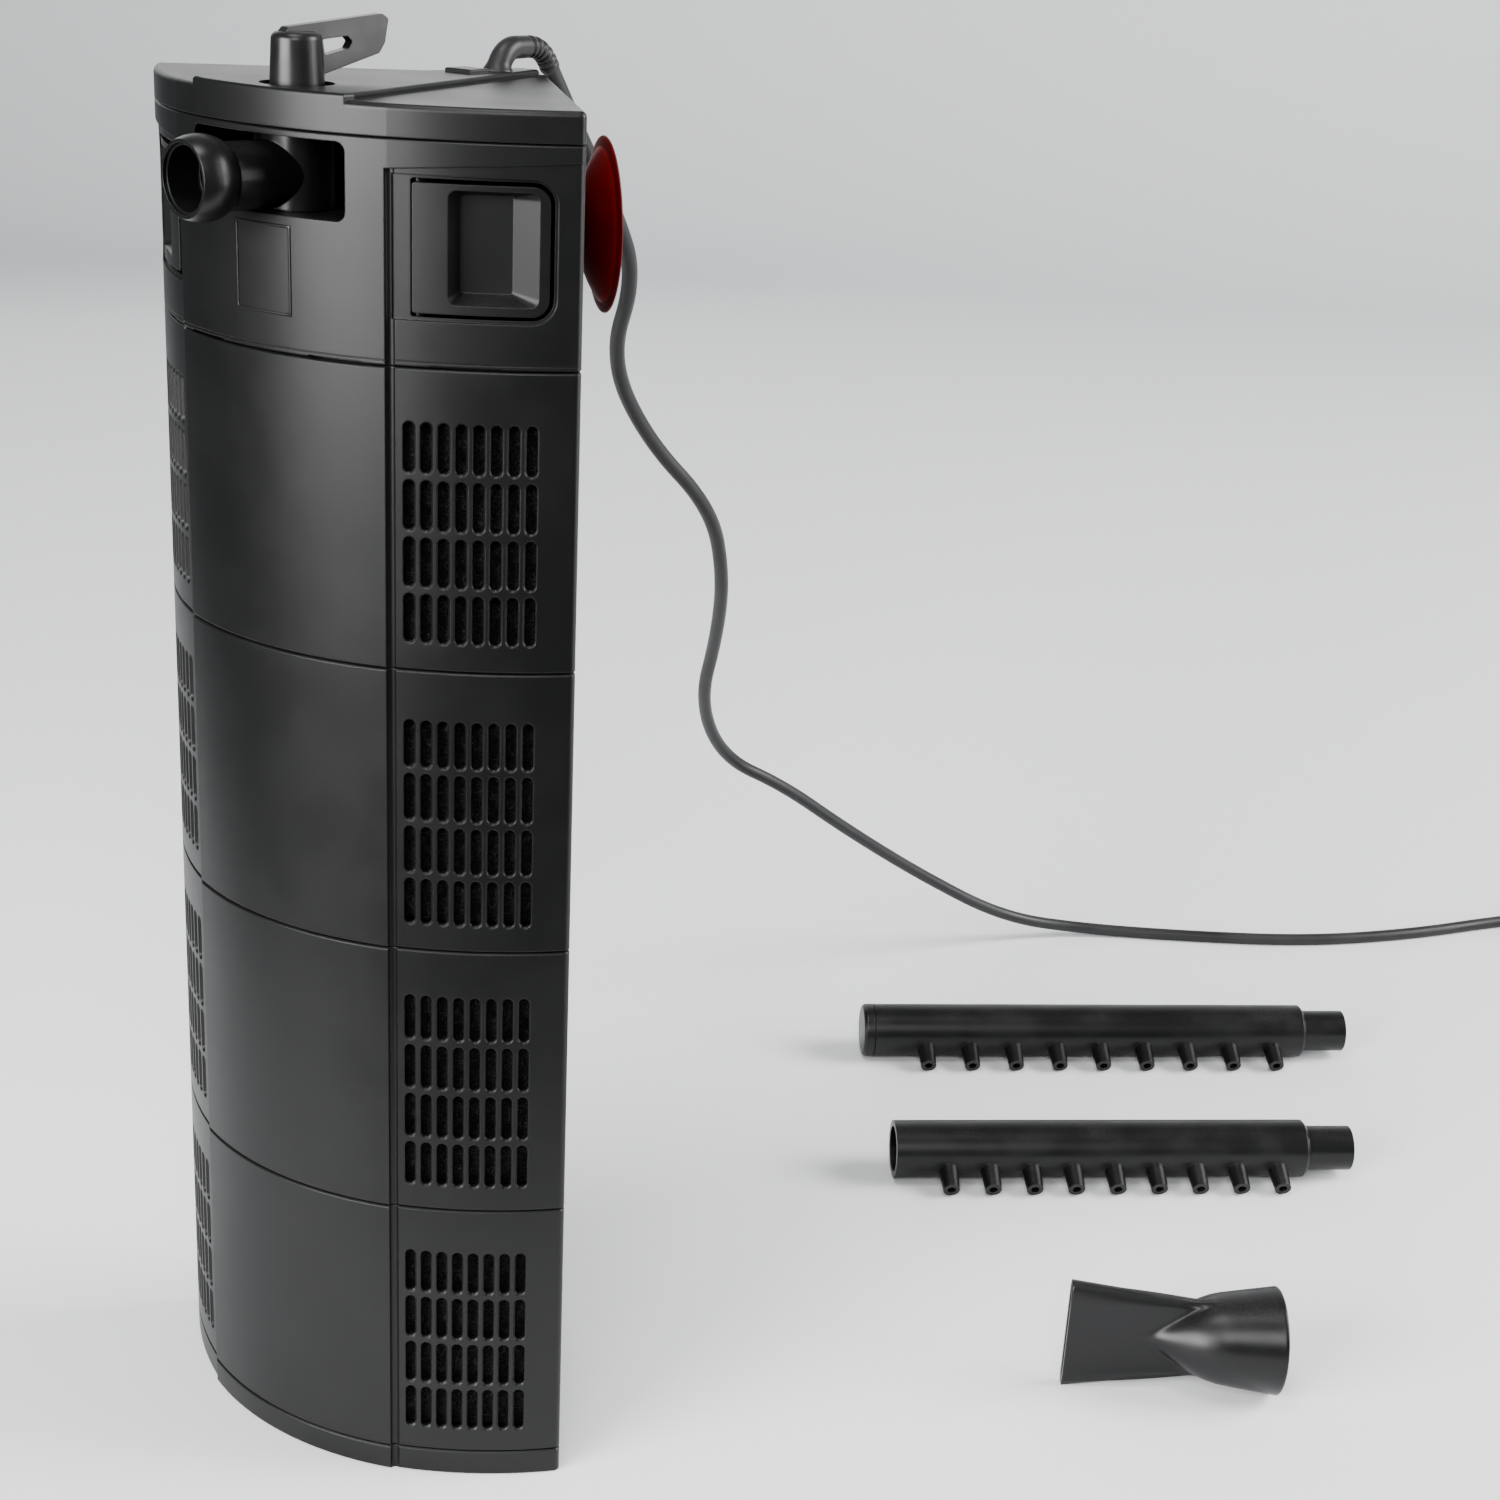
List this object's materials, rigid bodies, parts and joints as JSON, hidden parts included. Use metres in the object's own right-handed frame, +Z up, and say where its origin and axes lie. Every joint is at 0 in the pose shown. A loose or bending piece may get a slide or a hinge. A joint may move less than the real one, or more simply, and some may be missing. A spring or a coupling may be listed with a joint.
{
  "type": "canister filter",
  "caption": "Quarter-round modular corner filter for an aquarium: slotted foam modules, pump head with swinging outlet nozzle, suction cups, mains lead and loose spray bars.",
  "frame": {"origin": "on the riser tube's axis, at the underside of the base tray", "axes": "+Z up along the riser axis, -Y the way the centre panel and the outlet face, +Y towards the back corner where the two flats meet, +X to the viewer's right"},
  "size_m": [0.3351, 0.7001, 0.4107],
  "materials": {
    "satin_black": "satin, moulded, faint directional sheen",
    "knob_black": "semi-gloss",
    "nozzle_grey": "semi-gloss, slightly lighter than the housing",
    "red_silicone": "soft gloss, slightly translucent",
    "filter_foam": "coarse open-cell foam",
    "motor_resin": "potted, matt",
    "cable_pvc": "matt PVC",
    "seal_rubber": "matt",
    "pin_metal": "nickel-plated, polished",
    "screw_steel": "bright",
    "magnet": "ground",
    "impeller_plastic": "satin"
  },
  "bodies": {
    "base": {"base_tray": "satin_black"},
    "module_4": {"module_shell_4": "satin_black", "riser_tube_4": "satin_black", "foam_block_4": "filter_foam"},
    "module_3": {"module_shell_3": "satin_black", "riser_tube_3": "satin_black", "foam_block_3": "filter_foam"},
    "module_2": {"module_shell_2": "satin_black", "riser_tube_2": "satin_black", "foam_block_2": "filter_foam"},
    "module_1": {"module_shell_1": "satin_black", "riser_tube_1": "satin_black", "foam_block_1": "filter_foam"},
    "pump_head": {"head_shell": "satin_black", "cover_shell": "satin_black", "outlet_well": "satin_black", "inlet_bush": "satin_black", "volute_housing": "satin_black", "motor_block": "motor_resin", "motor_screws": "screw_steel", "pump_shaft": "screw_steel", "lower_bearing": "seal_rubber", "upper_bearing": "seal_rubber", "suction_cup_right": "red_silicone", "suction_cup_left": "red_silicone", "cable_lead": "cable_pvc", "cable_guide": "cable_pvc", "mains_cable": "cable_pvc", "cable_coil": "cable_pvc", "cable_tail": "cable_pvc", "plug_body": "cable_pvc", "plug_pins": "pin_metal"},
    "outlet": {"outlet_drum": "nozzle_grey", "nozzle_liner": "nozzle_grey", "drum_seal": "seal_rubber", "knob_lever": "knob_black"},
    "rotor": {"impeller": "impeller_plastic", "rotor_magnet": "magnet"},
    "latch_right": {"latch_right": "satin_black"},
    "latch_left": {"latch_left": "satin_black"},
    "spray_bar_long": {"spray_bar_long": "nozzle_grey"},
    "spray_bar_end_cap": {"spray_bar_end_cap": "nozzle_grey"},
    "spray_bar_short": {"spray_bar_short": "nozzle_grey"},
    "wide_jet_nozzle": {"wide_jet_nozzle": "nozzle_grey"}
  },
  "joints": [
    {"name": "module_4_lift", "type": "slide", "parent": "base", "child": "module_4", "axis": [0, 0, 1], "range_m": [0, 0.03]},
    {"name": "module_3_lift", "type": "slide", "parent": "module_4", "child": "module_3", "axis": [0, 0, 1], "range_m": [0, 0.03]},
    {"name": "module_2_lift", "type": "slide", "parent": "module_3", "child": "module_2", "axis": [0, 0, 1], "range_m": [0, 0.03]},
    {"name": "module_1_lift", "type": "slide", "parent": "module_2", "child": "module_1", "axis": [0, 0, 1], "range_m": [0, 0.03]},
    {"name": "pump_head_lift", "type": "slide", "parent": "module_1", "child": "pump_head", "axis": [0, 0, 1], "range_m": [0, 0.03]},
    {"name": "outlet_swing", "type": "hinge", "parent": "pump_head", "child": "outlet", "pos_m": [0, -0.0279, 0.3718], "axis": [0, 0, 1], "range_deg": [-25, 45]},
    {"name": "rotor_spin", "type": "hinge", "parent": "pump_head", "child": "rotor", "pos_m": [0, 0, 0.35], "axis": [0, 0, 1], "continuous": true},
    {"name": "latch_right_press", "type": "hinge", "parent": "pump_head", "child": "latch_right", "pos_m": [0.04095, -0.02748, 0.3577], "axis": [0, 0, 1], "range_deg": [0, 5], "stiffness_Nm_per_rad": 0.2},
    {"name": "latch_left_press", "type": "hinge", "parent": "pump_head", "child": "latch_left", "pos_m": [-0.04095, -0.02748, 0.3577], "axis": [0, 0, -1], "range_deg": [0, 5], "stiffness_Nm_per_rad": 0.2},
    {"name": "spray_bar_long_lift", "type": "slide", "parent": "base", "child": "spray_bar_long", "axis": [0, 0, 1], "range_m": [0, 0.04]},
    {"name": "end_cap_pull", "type": "slide", "parent": "spray_bar_long", "child": "spray_bar_end_cap", "axis": [-0.766, -0.6428, 0], "range_m": [0, 0.012]},
    {"name": "spray_bar_short_lift", "type": "slide", "parent": "base", "child": "spray_bar_short", "axis": [0, 0, 1], "range_m": [0, 0.04]},
    {"name": "wide_jet_lift", "type": "slide", "parent": "base", "child": "wide_jet_nozzle", "axis": [0, 0, 1], "range_m": [0, 0.04]}
  ]
}
